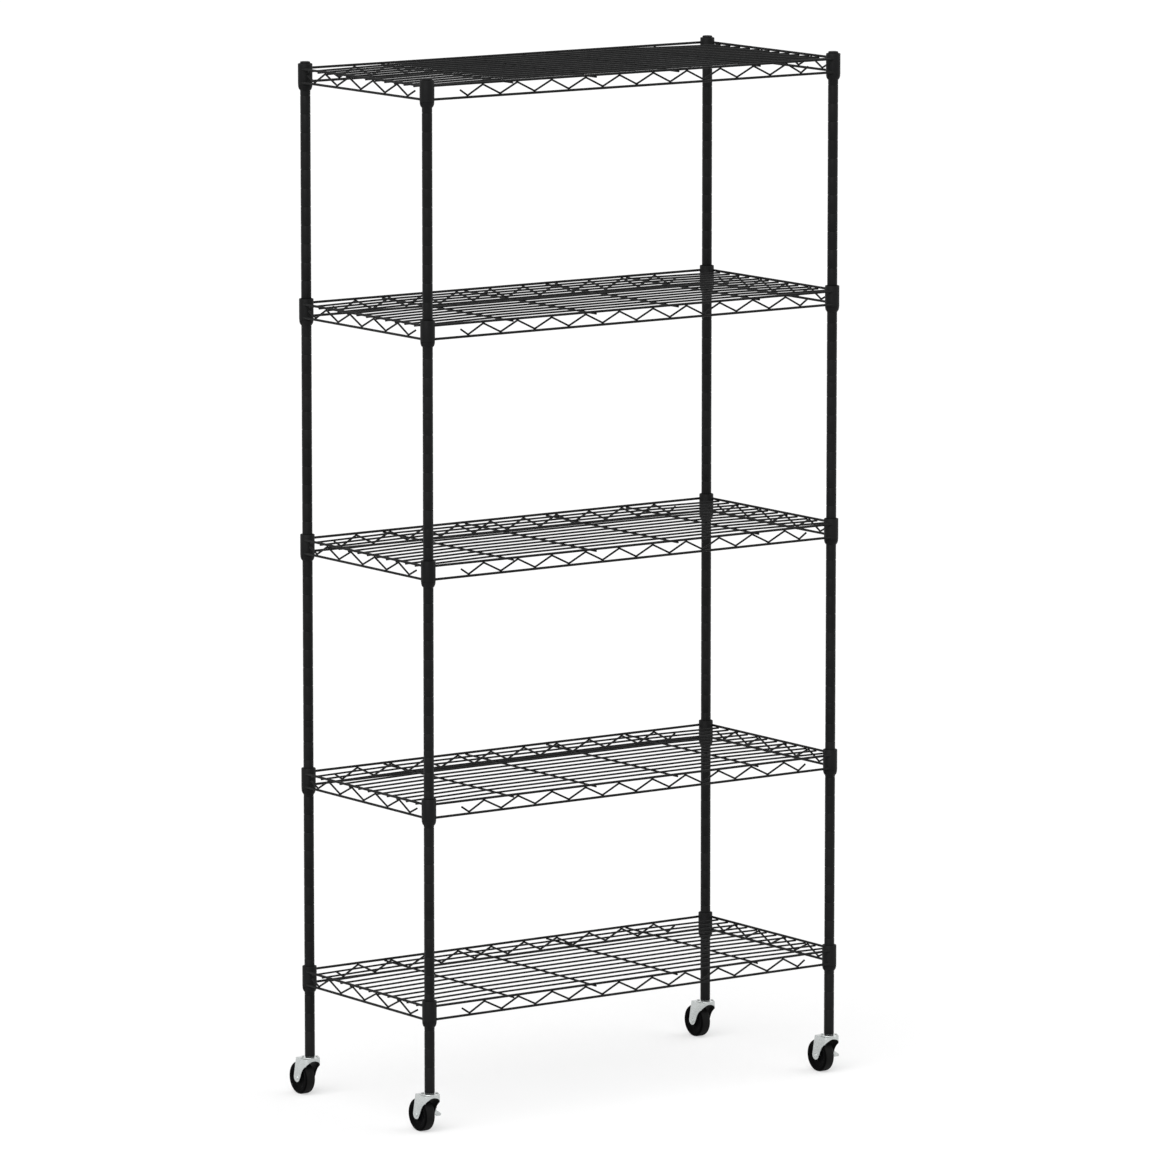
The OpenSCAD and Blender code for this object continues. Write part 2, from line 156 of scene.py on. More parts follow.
# noises are (scale, detail); a gloss of None follows the patches
powderCoat = {"dark": (0.0045, 0.0046, 0.0047, 1), "light": (0.0072, 0.0073, 0.0074, 1),
              "metallic": 0, "specular": 0.09, "patches": (22, 3),
              "gloss": (140, 2), "roughLow": 0.40, "roughHigh": 0.54,
              "grain": (900, 2), "grainStrength": 0.25, "grainDeep": 0.0002}
mouldedPlastic = {"dark": (0.0040, 0.0040, 0.0042, 1), "light": (0.0066, 0.0066, 0.0069, 1),
                  "metallic": 0, "specular": 0.09, "patches": (60, 2),
                  "gloss": (300, 2), "roughLow": 0.42, "roughHigh": 0.55,
                  "grain": (1800, 2), "grainStrength": 0.2, "grainDeep": 0.0001}
wheelTread = {"dark": (0.0052, 0.0052, 0.0051, 1), "light": (0.0070, 0.0069, 0.0068, 1),
              "metallic": 0, "specular": 0.06, "patches": (120, 4),
              "gloss": None, "roughLow": 0.48, "roughHigh": 0.64,
              "grain": (1500, 3), "grainStrength": 0.3, "grainDeep": 0.0001}
# the hub's black plastic, also used as painted shade on the tyre's sides
wheelPlastic = {"dark": (0.0007, 0.0007, 0.0008, 1), "light": (0.0013, 0.0013, 0.0014, 1),
                "metallic": 0, "specular": 0.02, "patches": (90, 2),
                "gloss": (300, 2), "roughLow": 0.4, "roughHigh": 0.52,
                "grain": (1800, 2), "grainStrength": 0.2, "grainDeep": 0.0001}
zincPlate = {"dark": (0.505, 0.528, 0.522, 1), "light": (0.55, 0.573, 0.566, 1),
             "metallic": 0.9, "specular": 0.5, "patches": (160, 4),
             "gloss": (500, 3), "roughLow": 0.22, "roughHigh": 0.34,
             "grain": (700, 4), "grainStrength": 0.15, "grainDeep": 0.0002}
# the races: a brighter plate, with painted shade in the dents
brightZinc = {**zincPlate, "dark": (0.60, 0.625, 0.62, 1), "light": (0.68, 0.70, 0.69, 1),
              "roughLow": 0.16, "roughHigh": 0.26}
dullZinc = {**zincPlate, "dark": (0.055, 0.058, 0.057, 1), "light": (0.09, 0.094, 0.092, 1),
            "roughLow": 0.34, "roughHigh": 0.46}
# painted shade on the inside of the fork and on the far leg's cut edge, a near-black zinc
greasedZinc = {"dark": (0.006, 0.006, 0.006, 1), "light": (0.016, 0.016, 0.015, 1),
               "metallic": 0.7, "specular": 0.1, "patches": (240, 4),
               "gloss": None, "roughLow": 0.45, "roughHigh": 0.65,
               "grain": (900, 3), "grainStrength": 0.2, "grainDeep": 0.0002}

finishes = {
    "black_metal": makeFinish("powderCoat", powderCoat),
    "black_plastic": makeFinish("mouldedPlastic", mouldedPlastic),
    "tyre_black": makeFinish("wheelTread", wheelTread),
    "zinc": makeFinish("zincPlate", zincPlate),
    "brightZinc": makeFinish("brightZinc", brightZinc),
    "dullZinc": makeFinish("dullZinc", dullZinc),
    "wheelPlastic": makeFinish("wheelPlastic", wheelPlastic),
    "greasedZinc": makeFinish("greasedZinc", greasedZinc),
}
slotOf = {part["node"]: part["material_slot"] for part in frame["record"]["subparts"]}
for nodeName, nodeObject in frame["nodes"].items():
    for materialSlot in nodeObject.material_slots:
        materialSlot.material = finishes[slotOf[nodeName]]
print("stage: finishes made")

# ---- modelling helpers

bending = {"starter": 0.001, "steps": 4, "roundness": 4}
oneVertex = {"wire": 0.00001, "turned": 0.000005}    # metres, nearer vertices are one


def startFresh():
    if bpy.context.mode != 'OBJECT':
        bpy.ops.object.mode_set(mode='OBJECT')
    bpy.ops.object.select_all(action='DESELECT')


def pick(piece):
    startFresh()
    piece.select_set(True)
    bpy.context.view_layer.objects.active = piece


def traceLine(name, places):
    # a small plane merged to one vertex, then extruded from place to place
    startFresh()
    bpy.ops.mesh.primitive_plane_add(size=bending["starter"], location=places[0])
    line = bpy.context.active_object
    line.name = name
    bpy.ops.object.transform_apply(location=True, rotation=True, scale=True)
    bpy.ops.object.mode_set(mode='EDIT')
    bpy.ops.mesh.select_mode(type='VERT')
    bpy.ops.mesh.select_all(action='SELECT')
    bpy.ops.mesh.merge(type='CENTER')
    for before, after in zip(places, places[1:]):
        bpy.ops.mesh.extrude_region_move(
            TRANSFORM_OT_translate={"value": Vector(after) - Vector(before)})
    bpy.ops.object.mode_set(mode='OBJECT')
    return line


def pickBends(line, places):
    # all vertices of the line but its two ends
    ends = [Vector(places[0]), Vector(places[-1])]
    for vertex in line.data.vertices:
        vertex.select = min((vertex.co - end).length for end in ends) > oneVertex["wire"]
    for edge in line.data.edges:
        edge.select = False


def bendWire(name, places, thickness, bend=0, bendSteps=bending["steps"]):
    wire = traceLine(name, places)
    if bend:
        pickBends(wire, places)
        bpy.ops.object.mode_set(mode='EDIT')
        bpy.ops.mesh.bevel(offset=bend, offset_type='OFFSET', segments=bendSteps, affect='VERTICES')
        bpy.ops.object.mode_set(mode='OBJECT')
    bpy.ops.object.convert(target='CURVE')
    wire.data.bevel_depth = thickness / 2
    wire.data.bevel_resolution = bending["roundness"]
    wire.data.use_fill_caps = True
    bpy.ops.object.convert(target='MESH')
    wire = bpy.context.active_object
    bpy.ops.object.mode_set(mode='EDIT')
    bpy.ops.mesh.select_all(action='SELECT')
    bpy.ops.mesh.remove_doubles(threshold=oneVertex["wire"])
    bpy.ops.mesh.normals_make_consistent(inside=False)
    bpy.ops.object.mode_set(mode='OBJECT')
    return wire


def turn(name, profile, middle, steps, closed=False, angle=360, start=0):
    # profile of (radius, height) turned about the upright line through middle
    middle = Vector(middle)
    out = Vector((math.cos(math.radians(start)), math.sin(math.radians(start)), 0))
    places = [middle + out * radius + Vector((0, 0, height)) for radius, height in profile]
    turned = traceLine(name, places)
    bpy.ops.object.mode_set(mode='EDIT')
    bpy.ops.mesh.select_all(action='SELECT')
    if closed:
        # known fault: this fills the outline too, and the spin keeps such a face inside the wall at each step
        bpy.ops.mesh.edge_face_add()
        bpy.ops.mesh.select_all(action='SELECT')
    bpy.ops.mesh.spin(steps=steps, angle=math.radians(angle), center=middle, axis=(0, 0, 1),
                      use_auto_merge=angle == 360)
    bpy.ops.mesh.select_all(action='SELECT')
    bpy.ops.mesh.remove_doubles(threshold=oneVertex["turned"])
    if angle < 360:
        bpy.ops.mesh.select_all(action='DESELECT')
        bpy.ops.mesh.select_non_manifold(extend=False)
        bpy.ops.mesh.fill_holes(sides=0)
        bpy.ops.mesh.select_all(action='SELECT')
    bpy.ops.mesh.normals_make_consistent(inside=False)
    bpy.ops.object.mode_set(mode='OBJECT')
    return turned


# a rounded edge in five points, as shares of its size: in from the side, and in from the end
roundEdge = ((1, 0), (0.6, 0.09), (0.3, 0.3), (0.09, 0.6), (0, 1))
edgeMiddle = roundEdge[2][0]


def topEdge(radius, height, edge):
    # the same edge in three points, at the upper end of a turned piece
    return [(radius, height - edge), (radius - edgeMiddle * edge, height - edgeMiddle * edge),
            (radius - edge, height)]


def bothEnds(upper):
    # a turned piece whose lower end mirrors its upper end
    return [(radius, -along) for radius, along in upper] + upper[::-1]


def joinPieces(name, pieces):
    startFresh()
    for piece in pieces:
        piece.select_set(True)
    bpy.context.view_layer.objects.active = pieces[0]
    bpy.ops.object.join()
    joined = bpy.context.active_object
    joined.name = joined.data.name = name
    return joined


def copyTo(piece, name, shift, turnBy=0, about=(0, 0, 0)):
    pick(piece)
    bpy.ops.object.duplicate(linked=False)
    copy = bpy.context.active_object
    copy.name = copy.data.name = name
    if turnBy:
        bpy.ops.object.mode_set(mode='EDIT')
        bpy.ops.mesh.select_all(action='SELECT')
        bpy.ops.transform.rotate(value=turnBy, orient_axis='Z', center_override=about)
        bpy.ops.object.mode_set(mode='OBJECT')
    bpy.ops.transform.translate(value=shift)
    bpy.ops.object.transform_apply(location=True, rotation=True, scale=True)
    return copy


def finishPiece(piece, body, replaced, finish, smooth=40):
    pick(piece)
    bpy.ops.object.transform_apply(location=True, rotation=True, scale=True)
    bpy.ops.object.shade_smooth_by_angle(angle=math.radians(smooth))
    piece.data.materials.clear()
    piece.data.materials.append(finishes[finish])
    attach(piece, body)
    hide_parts(*replaced)


def addFinish(piece, finish, belongs):
    # a second finish on the faces that belongs() picks by their middle and normal
    piece.data.materials.append(finishes[finish])
    slotNumber = len(piece.data.materials) - 1
    for face in piece.data.polygons:
        if belongs(face.center, face.normal):
            face.material_index = slotNumber


# ---- where things are, read off the CAD

cornerNames = ["fl", "fr", "bl", "br"]
postFeet = {}
for cornerName in cornerNames:
    low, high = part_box("post_low_" + cornerName)
    postFeet[cornerName] = Vector(((low.x + high.x) / 2, (low.y + high.y) / 2, low.z))
rackMiddle = sum(postFeet.values(), Vector()) / 4
halfLong = (postFeet["fr"].x - postFeet["fl"].x) / 2
halfShort = (postFeet["bl"].y - postFeet["fl"].y) / 2
shelfNumbers = range(1, 6)

collar = {"outer": 0.0100, "up": 0.0071, "tall": 0.029, "edge": 0.0007, "lowEdge": 0.0003,
          "boreTop": 0.0079, "boreBottom": 0.0088, "steps": 48,
          "brimIn": 0.0011, "brimDown": 0.0001,                  # where the flat top ends
          "seatOut": 0.0005, "seatDown": 0.0016, "boreDown": 0.0024}    # where the sleeves sit
shelfHeights = [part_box("frame_%d" % number)[1].z - collar["up"] for number in shelfNumbers]


def copyToPosts(first, name):
    pieces = {"fl": first}
    for cornerName in cornerNames[1:]:
        pieces[cornerName] = copyTo(first, name + cornerName.title(), postFeet[cornerName] - postFeet["fl"])
    return pieces


def copyFinished(first, name, cornerName):
    # known fault: a copy of a finished piece also says that it replaces what the first one replaces
    if cornerName == "fl":
        return first
    return copyTo(first, name + cornerName.title(), postFeet[cornerName] - postFeet["fl"])


def fillShelves(first, name, nodeName, finish):
    # what is modelled at the first shelf goes to the others as well
    pieces = [first]
    for number, height in zip(shelfNumbers[1:], shelfHeights[1:]):
        pieces.append(copyTo(first, name + str(number), (0, 0, height - shelfHeights[0])))
    for number, piece in zip(shelfNumbers, pieces):
        finishPiece(piece, "rack", ["%s_%d" % (nodeName, number)], finish)


# ---- rims: two rails a side, a zigzag between them and a collar at each post

rim = {"railOut": 0.0073, "railGap": 0.0184, "railThick": 0.0035, "wireThick": 0.0027,
       "longTops": 10, "longPitch": 0.0562, "longStub": 0.012,
       "shortTops": 4, "shortPitch": 0.0578, "shortStub": 0.017,
       "endPull": 0.0032, "zigBend": 0.0016, "zigIn": 0.0024, "stubTop": -0.0081}
railX = halfLong + rim["railOut"]
railY = halfShort + rim["railOut"]


def zigzagPlaces(tops, pitch, stub):
    high, low = -rim["zigIn"], rim["zigIn"] - rim["railGap"]
    last = tops / 2 * pitch - rim["endPull"]
    places = [(-last - stub, rim["stubTop"]), (-last, low)]
    for number in range(tops):
        place = (number - (tops - 1) / 2) * pitch
        places.append((place, high))
        places.append((place + pitch / 2 if number < tops - 1 else last, low))
    places.append((last + stub, rim["stubTop"]))
    return places


def makeCollars(height):
    radius, up, edge, lowEdge = collar["outer"], collar["up"], collar["edge"], collar["lowEdge"]
    low = up - collar["tall"]
    profile = [(collar["boreBottom"], low), (radius - lowEdge, low), (radius, low + lowEdge)]
    profile += topEdge(radius, up, edge)
    profile += [(radius - collar["brimIn"], up - collar["brimDown"]),
                (collar["boreTop"] + collar["seatOut"], up - collar["seatDown"]),
                (collar["boreTop"], up - collar["boreDown"])]
    middle = (postFeet["fl"].x, postFeet["fl"].y, height)
    first = turn("collar", profile, middle, collar["steps"], closed=True)
    return list(copyToPosts(first, "collar").values())


def makeRim(name, height):
    middle = Vector((rackMiddle.x, rackMiddle.y, height))
    longPlaces = [middle + Vector((along, -railY, up)) for along, up in
                  zigzagPlaces(rim["longTops"], rim["longPitch"], rim["longStub"])]
    shortPlaces = [middle + Vector((-railX, along, up)) for along, up in
                   zigzagPlaces(rim["shortTops"], rim["shortPitch"], rim["shortStub"])]
    zigLong = bendWire("zigLong", longPlaces, rim["wireThick"], rim["zigBend"])
    zigShort = bendWire("zigShort", shortPlaces, rim["wireThick"], rim["zigBend"])
    wires = [zigLong, copyTo(zigLong, "zigLongBack", (0, 2 * railY, 0)),
             zigShort, copyTo(zigShort, "zigShortRight", (2 * railX, 0, 0))]
    railLong = bendWire("railLong", [middle + Vector((side * halfLong, -railY, 0)) for side in (-1, 1)],
                        rim["railThick"])
    railShort = bendWire("railShort", [middle + Vector((-railX, side * halfShort, 0)) for side in (-1, 1)],
                         rim["railThick"])
    for across in (0, 1):
        for down in (0, 1):
            wires.append(copyTo(railLong, "rail", (0, 2 * railY * across, -rim["railGap"] * down)))
            wires.append(copyTo(railShort, "rail", (2 * railX * across, 0, -rim["railGap"] * down)))
    startFresh()
    railLong.select_set(True)
    railShort.select_set(True)
    bpy.ops.object.delete()
    return joinPieces(name, wires + makeCollars(height))


fillShelves(makeRim("rimShelf1", shelfHeights[0]), "rimShelf", "frame", "black_metal")
print("stage: rims made")

# ---- decks: wires from end to end, dipping under the short rails, over cross wires

deck = {"wires": 12, "pitch": 0.02314, "crossWires": 4, "crossShare": 0.994, "over": 0.0005,
        "crossOver": 0.0026, "dip": 0.0022, "crossDown": 0.00255, "bend": 0.010, "bendSteps": 3}


def makeDeck(name, height):
    middle = Vector((rackMiddle.x, rackMiddle.y, height))
    crossPitch = 2 * railX / (deck["crossWires"] + 1) * deck["crossShare"]
    flat = crossPitch * (deck["crossWires"] - 1) / 2
    end = railX + deck["over"]
    drop = -deck["dip"] * (end - flat) / (railX - flat)
    firstY = -(deck["wires"] - 1) / 2 * deck["pitch"]
    crossEnd = railY + deck["crossOver"]
    longPlaces = [middle + Vector((along, firstY, up)) for along, up in
                  ((-end, drop), (-flat, 0), (flat, 0), (end, drop))]
    crossPlaces = [middle + Vector((-flat, side * crossEnd, -deck["crossDown"])) for side in (-1, 1)]
    long = bendWire("deckWire", longPlaces, rim["wireThick"], deck["bend"], deck["bendSteps"])
    cross = bendWire("crossWire", crossPlaces, rim["wireThick"])
    wires = [long, cross]
    for number in range(1, deck["wires"]):
        wires.append(copyTo(long, "deckWire", (0, number * deck["pitch"], 0)))
    for number in range(1, deck["crossWires"]):
        wires.append(copyTo(cross, "crossWire", (number * crossPitch, 0, 0)))
    return joinPieces(name, wires)


fillShelves(makeDeck("deckShelf1", shelfHeights[0]), "deckShelf", "deck", "black_metal")
print("stage: decks made")

# ---- plastic half sleeves in the collars

sleeve = {"inner": 0.00705, "drop": 0.0074, "slot": 7, "steps": 22,
          "lip": 0.0077, "lipEdge": 0.0003, "coneOut": 0.0013, "coneUp": 0.0022,
          "collarIn": 0.0002, "band": 0.0026, "bandIn": 0.0002, "bandUnder": 0.0004, "bandOver": 0.0006,
          "brimUnder": 0.0004, "brimIn": 0.0003, "play": 0.00005,
          "boreIn": 0.0002, "topStart": 0.0026, "topIn": 0.0005, "topMiddle": 0.0021, "topEnd": 0.0018}


def makeSleeves(name, height):
    low, up = collar["up"] - collar["tall"], collar["up"]
    foot, lip, band = low - sleeve["drop"], sleeve["lip"], low - sleeve["band"]
    widest = collar["outer"] - sleeve["collarIn"]
    profile = [(sleeve["inner"], foot), (lip - sleeve["lipEdge"], foot), (lip, foot + sleeve["lipEdge"]),
               (lip + sleeve["coneOut"], foot + sleeve["coneUp"]),
               (widest - sleeve["bandIn"], band - sleeve["bandUnder"]), (widest, band + sleeve["bandOver"]),
               (widest, low - sleeve["brimUnder"]), (widest - sleeve["brimIn"], low - sleeve["play"]),
               (collar["boreBottom"] - sleeve["boreIn"], low - sleeve["play"]),
               (collar["boreTop"] - sleeve["boreIn"], up - sleeve["topStart"]),
               (collar["boreTop"] - sleeve["topIn"], up - sleeve["topMiddle"]),
               (sleeve["inner"], up - sleeve["topEnd"])]
    middle = (postFeet["fl"].x, postFeet["fl"].y, height)
    half = turn("halfSleeve", profile, middle, sleeve["steps"],
                closed=True, angle=180 - sleeve["slot"], start=sleeve["slot"] / 2)
    other = copyTo(half, "halfSleeve", (0, 0, 0), math.pi, middle)
    pairs = copyToPosts(joinPieces("sleevePair", [half, other]), "sleevePair")
    return joinPieces(name, list(pairs.values()))


fillShelves(makeSleeves("sleevesShelf1", shelfHeights[0]), "sleevesShelf", "clips", "black_plastic")
print("stage: sleeves made")

# ---- posts in three modules, ringed every 25.4 mm

post = {"outer": 0.0070, "wall": 0.0011, "foot": 0.005, "module": 0.459, "pitch": 0.0254,
        "firstGroove": 0.0061, "jointGroove": 0.0089, "grooves": 17, "grooveClear": 0.003,
        "grooveWide": 0.0013, "grooveDeep": 0.00045, "edge": 0.0004, "cap": 0.0036, "steps": 40,
        "jointGap": 0.00002, "footUp": 0.0008, "footRound": 0.0013, "footFlat": 0.0002}
# half a groove: shares of its depth, and of its width from its middle
grooveHalf = ((0, 0.6), (0.2, 0.42), (1, 0.15))
moduleNames = ["Low", "Mid", "Top"]


def makePostModule(name, module):
    base = post["foot"] + module * post["module"]
    bottom = base + post["jointGap"] if module else post["footUp"]
    top = base + post["module"] - (post["cap"] if module == len(moduleNames) - 1 else 0)
    rings = [base + post["firstGroove"] + number * post["pitch"] for number in range(1, post["grooves"] + 1)]
    if module:
        rings.insert(0, base + post["jointGroove"])
    radius, wide, deep, clear = post["outer"], post["grooveWide"], post["grooveDeep"], post["grooveClear"]
    lower = post["edge"] if module else post["footRound"]
    profile = [(radius - max(post["wall"], lower + post["footFlat"]), bottom)]
    profile += [(radius - inward * lower, bottom + upward * lower) for inward, upward in roundEdge]
    for ring in rings:
        if bottom + clear < ring < top - clear:
            profile += [(radius - down * deep, ring - along * wide) for down, along in grooveHalf]
            profile += [(radius - down * deep, ring + along * wide) for down, along in grooveHalf[::-1]]
    profile += topEdge(radius, top, post["edge"])
    profile.append((radius - post["wall"], top))
    return turn(name, profile, postFeet["fl"], post["steps"], closed=True)


for module, moduleName in enumerate(moduleNames):
    first = makePostModule("post%sFl" % moduleName, module)
    for cornerName, piece in copyToPosts(first, "post" + moduleName).items():
        finishPiece(piece, "rack", ["post_%s_%s" % (moduleName.lower(), cornerName)],
                    "black_metal")
print("stage: posts made")

# ---- push-in caps on the posts

cap = {"plug": 0.014, "plugIn": 0.0005, "plugUp": 0.0008, "play": 0.00005, "under": 0.00002,
       "edge": 0.0002, "topDown": 0.00002, "steps": 48}
# the crown: in from the side, and down from the top
capCrown = ((0, 0.0013), (0.0002, 0.0008), (0.0007, 0.0003), (0.0018, 0.00006))


def makeCaps(name):
    seat = post["foot"] + len(moduleNames) * post["module"] - post["cap"]
    top, low, edge = seat + post["cap"], seat - cap["plug"], cap["edge"]
    radius, inner = post["outer"], post["outer"] - post["wall"] - cap["play"]
    profile = [(0, low), (inner - cap["plugIn"], low), (inner, low + cap["plugUp"]),
               (inner, seat + cap["under"]), (radius - edge, seat + cap["under"]), (radius, seat + edge)]
    profile += [(radius - inward, top - down) for inward, down in capCrown]
    profile.append((0, top - cap["topDown"]))
    first = turn("cap", profile, postFeet["fl"], cap["steps"])
    return joinPieces(name, list(copyToPosts(first, "cap").values()))


finishPiece(makeCaps("postCaps"), "rack", ["post_caps"], "black_plastic")
print("stage: caps made")

# ---- races: a screwed-in stem over a pressed disc, with the king pin under it

race = {"outer": 0.0130, "thick": 0.00115, "edge": 0.0005, "lowEdge": 0.0002, "steps": 96,
        "stem": 0.0039, "stemTall": 0.019, "stemEdge": 0.0009, "stemFillet": 0.0002,
        "crown": 0.0008, "crownOut": 0.0084, "crownFall": 0.0008, "crownDown": 0.0001,
        "brimIn": 0.0016, "brimUp": 0.0001,
        "trackOut": 0.0094, "trackHalf": 0.0009, "trackFlank": 0.0006, "trackDeep": 0.0006,
        "trackShare": 0.8,
        "dents": 8, "firstDent": -56, "dentOut": 0.0109, "dentUp": 0.0002,
        "dentBall": 0.0030, "dentDeep": 0.00075, "dentSegments": 40, "dentRings": 24,
        "dentSlack": 1.004, "dentLowest": -0.0008}
king = {"radius": 0.003, "washer": 0.0016, "washerLow": 0.0014, "headOut": 0.002, "headTop": 0.0034,
        "headMiddleOut": 0.0017, "headMiddle": 0.0041, "headLowOut": 0.0009, "bottom": 0.0047}


def dentBalls():
    # middles of the balls that press the dents, from the middle of the post's foot
    up = race["dentUp"] + race["dentBall"] - race["dentDeep"]
    for number in range(race["dents"]):
        angle = math.radians(race["firstDent"] + number * 360 / race["dents"])
        yield Vector((math.cos(angle) * race["dentOut"], math.sin(angle) * race["dentOut"], up))


def raceOutline():
    outer, low, edge, lowEdge = race["outer"], -race["thick"], race["edge"], race["lowEdge"]
    crown, crownOut = race["crown"], race["crownOut"]
    stem, tall, fillet = race["stem"], race["stemTall"], race["stemFillet"]
    track, half, flank, deep = race["trackOut"], race["trackHalf"], race["trackFlank"], race["trackDeep"]
    pinOut = king["radius"]
    upper = [(0, tall), (stem - race["stemEdge"], tall), (stem, tall - race["stemEdge"]),
             (stem, crown + fillet), (stem + fillet, crown), (crownOut, crown),
             (crownOut + race["crownFall"], crown - race["crownDown"]),
             (outer - race["brimIn"], race["brimUp"]), (outer - edge, -race["brimUp"]),
             (outer - edgeMiddle * edge, -edgeMiddle * edge), (outer, -edge)]
    under = [(outer, low + lowEdge), (outer - lowEdge, low), (track + half, low),
             (track + flank, low + race["trackShare"] * deep), (track, low + deep),
             (track - flank, low + race["trackShare"] * deep), (track - half, low)]
    pin = [(pinOut + king["washer"], low), (pinOut + king["washer"], -king["washerLow"]),
           (pinOut, -king["washerLow"]), (pinOut, -king["headTop"]),
           (pinOut + king["headOut"], -king["headTop"]),
           (pinOut + king["headMiddleOut"], -king["headMiddle"]),
           (pinOut + king["headLowOut"], -king["bottom"]), (0, -king["bottom"])]
    return upper + under + pin


def makeRace(name, foot):
    disc = turn(name, raceOutline(), foot, race["steps"])
    for ballMiddle in dentBalls():
        startFresh()
        bpy.ops.mesh.primitive_uv_sphere_add(segments=race["dentSegments"], ring_count=race["dentRings"],
                                             radius=race["dentBall"], location=foot + ballMiddle)
        ball = bpy.context.active_object
        bpy.ops.object.transform_apply(location=True, rotation=True, scale=True)
        pick(disc)
        dent = disc.modifiers.new("dent", 'BOOLEAN')
        dent.operation = 'DIFFERENCE'
        dent.object = ball
        bpy.ops.object.modifier_apply(modifier="dent")
        pick(ball)
        bpy.ops.object.delete()
    return disc


def inDent(place):
    # the faces that get painted shade: on the sphere of one of the balls, and not under the disc
    reach = race["dentBall"] * race["dentSlack"]
    return place.z > race["dentLowest"] and any((place - ball).length < reach for ball in dentBalls())


raceFirst = makeRace("raceFl", postFeet["fl"])
for cornerName in cornerNames:
    piece = copyFinished(raceFirst, "race", cornerName)
    finishPiece(piece, "rack", ["stem_" + cornerName], "brightZinc")
    foot = postFeet[cornerName]
    # the dents take a dark zinc as painted shade
    addFinish(piece, "dullZinc", lambda middle, normal: inDent(middle - foot))
print("stage: races made")

# ---- forks and pedals: pressed sheet, so every edge is a little rounded

pressed = {"forkEdge": 0.00035, "pedalEdge": 0.00026, "edgeSteps": 3, "edgeAngle": 38,
           "flatAngle": 0.6, "smooth": 30}
# where the fork's painted shade starts, from the post's foot, and how far a face turns to it
inner = {"top": -0.001, "half": 0.0112, "front": -0.0075, "bandFoot": -0.0095,
         "sideTurn": 0.3, "underTurn": 0.6}


def roundedCopy(name, nodeName, edge):
    startFresh()
    piece = bpy.data.objects.new(name, frame["nodes"][nodeName].data.copy())
    scene.collection.objects.link(piece)
    pick(piece)
    bpy.ops.object.mode_set(mode='EDIT')
    bpy.ops.mesh.select_all(action='SELECT')
    bpy.ops.mesh.remove_doubles(threshold=oneVertex["turned"])
    bpy.ops.mesh.dissolve_limited(angle_limit=math.radians(pressed["flatAngle"]))
    bpy.ops.mesh.normals_make_consistent(inside=False)
    bpy.ops.object.mode_set(mode='OBJECT')
    bevel = piece.modifiers.new("roundEdges", 'BEVEL')
    bevel.width = edge
    bevel.segments = pressed["edgeSteps"]
    bevel.limit_method = 'ANGLE'
    bevel.angle_limit = math.radians(pressed["edgeAngle"])
    bevel.use_clamp_overlap = True
    bpy.ops.object.modifier_apply(modifier="roundEdges")
    return piece


def insideFork(place, normal):
    # the faces that get painted shade: the sheet's inner faces and the far leg's cut edge, never its outside
    legInner = normal.x * place.x < -inner["sideTurn"] * abs(place.x)
    frontInner = normal.y > inner["sideTurn"] and place.y < inner["front"]
    underside = normal.z < -inner["underTurn"]
    farEdge = place.x > inner["half"] and normal.x < inner["underTurn"] and place.z < inner["bandFoot"]
    return place.z < inner["top"] and (legInner or frontInner or underside or farEdge)


forks = {"fl": roundedCopy("forkFl", "fork_fl", pressed["forkEdge"]),
         "bl": roundedCopy("forkBl", "fork_bl", pressed["forkEdge"])}
forks["fr"] = copyTo(forks["fl"], "forkFr", postFeet["fr"] - postFeet["fl"])
forks["br"] = copyTo(forks["bl"], "forkBr", postFeet["br"] - postFeet["bl"])
for cornerName, piece in forks.items():
    finishPiece(piece, "caster_" + cornerName, ["fork_" + cornerName], "zinc", pressed["smooth"])
    foot = postFeet[cornerName]
    # the fork's inner faces and far cut edge take a near-black zinc as painted shade
    addFinish(piece, "greasedZinc", lambda middle, normal: insideFork(middle - foot, normal))
pedalFirst = roundedCopy("pedalFl", "brake_fl", pressed["pedalEdge"])
pedals = {"fl": pedalFirst, "fr": copyTo(pedalFirst, "pedalFr", postFeet["fr"] - postFeet["fl"])}
for cornerName, piece in pedals.items():
    finishPiece(piece, "lever_" + cornerName, ["brake_" + cornerName], "zinc", pressed["smooth"])
print("stage: forks and pedals made")

# ---- wheels: a moulded hub in a round-shouldered tyre, turned lying and then stood up

wheel = {"outer": 0.0228, "half": 0.0076, "shoulder": 0.0032, "shoulderSteps": 8, "tyreThick": 0.0055,
         "tyreLip": 0.0004, "tyreLipDown": 0.0001, "shadeSideFrom": 0.55, "steps": 72, "tyreSmooth": 50,
         "hubSmooth": 35}
hub = {"bore": 0.00195, "boss": 0.008, "bossEdge": 0.0005, "bossEdgeDown": 0.0004, "faceIn": 0.0001,
       "dish": 0.0016, "footStart": 0.0004, "footUp": 0.0003, "footEnd": 0.0009,
       "rimStart": 0.0028, "rimFoot": 0.0023, "rimMiddle": 0.0020, "rimTop": 0.0016,
       "rimMiddleDown": 0.0009, "rimDown": 0.0006, "play": 0.00002}
axle = {"radius": 0.0019, "head": 0.0026, "headTall": 0.0009, "headFlat": 0.0008, "headRound": 0.0002,
        "dimple": 0.0012, "dimpleDeep": 0.0005, "dimpleEdge": 0.0002, "dimpleEdgeDeep": 0.00015,
        "dimpleShare": 0.6, "deepShare": 0.8, "roundFrom": 0.3, "roundTo": 0.7,
        "spacer": 0.0036, "spacerStop": 0.00145, "spacerGap": 0.0003, "steps": 32, "smooth": 35}
pin = {"radius": 0.0011, "head": 0.0018, "half": 0.00535, "headTall": 0.0007, "headFlat": 0.0006,
       "headIn": 0.0001, "headMiddle": 0.0004, "headLow": 0.0002}


def standUp(piece, about, axis='Y'):
    pick(piece)
    bpy.ops.object.mode_set(mode='EDIT')
    bpy.ops.mesh.select_all(action='SELECT')
    bpy.ops.transform.rotate(value=-math.pi / 2, orient_axis=axis, center_override=about)
    bpy.ops.object.mode_set(mode='OBJECT')
    return piece


